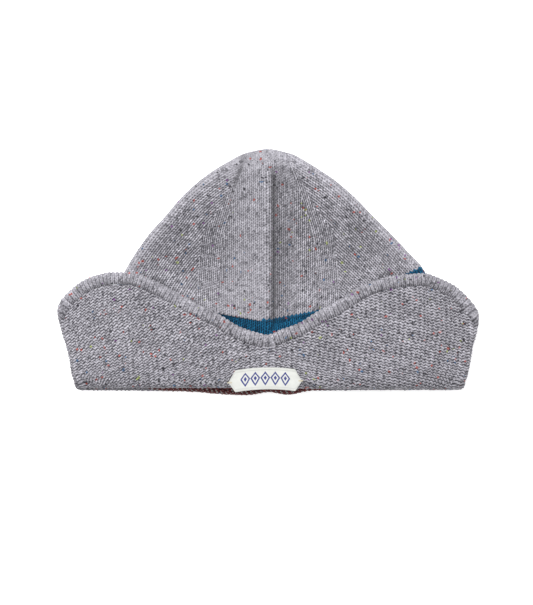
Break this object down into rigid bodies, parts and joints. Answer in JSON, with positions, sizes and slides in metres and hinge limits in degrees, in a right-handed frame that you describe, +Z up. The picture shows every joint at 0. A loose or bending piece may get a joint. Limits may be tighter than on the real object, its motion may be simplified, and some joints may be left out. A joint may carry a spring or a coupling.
{
  "type": "earmuff beanie",
  "caption": "Knitted beanie with a pointed crown, contrast stripes and a turned-up ribbed-edge cuff shaped into earflaps, lying flat.",
  "frame": {"origin": "middle of the outline on the surface the hat lies on, under its back panel", "axes": "+X along the rim to the viewer's right, +Y from the rim to the closed top, +Z up through the front panel"},
  "size_m": [0.2835, 0.1644, 0.0338],
  "materials": {
    "grey_knit": "heathered yarn, smooth knit side",
    "grey_purl": "heathered yarn, purl side",
    "grey_rib": "heathered yarn, ribbed",
    "blue_knit": "dyed yarn, smooth knit side",
    "maroon_knit": "dyed yarn, smooth knit side",
    "label_weave": "close satin weave",
    "tack_thread": "sewing thread"
  },
  "bodies": {
    "root": {"crown": "grey_knit", "blue_stripe": "blue_knit", "crown_base": "grey_knit", "maroon_stripe": "maroon_knit", "earflap_cuff": "grey_purl", "edge_ribbing": "grey_rib", "label": "label_weave", "tack_left": "tack_thread", "tack_right": "tack_thread"}
  },
  "joints": []
}
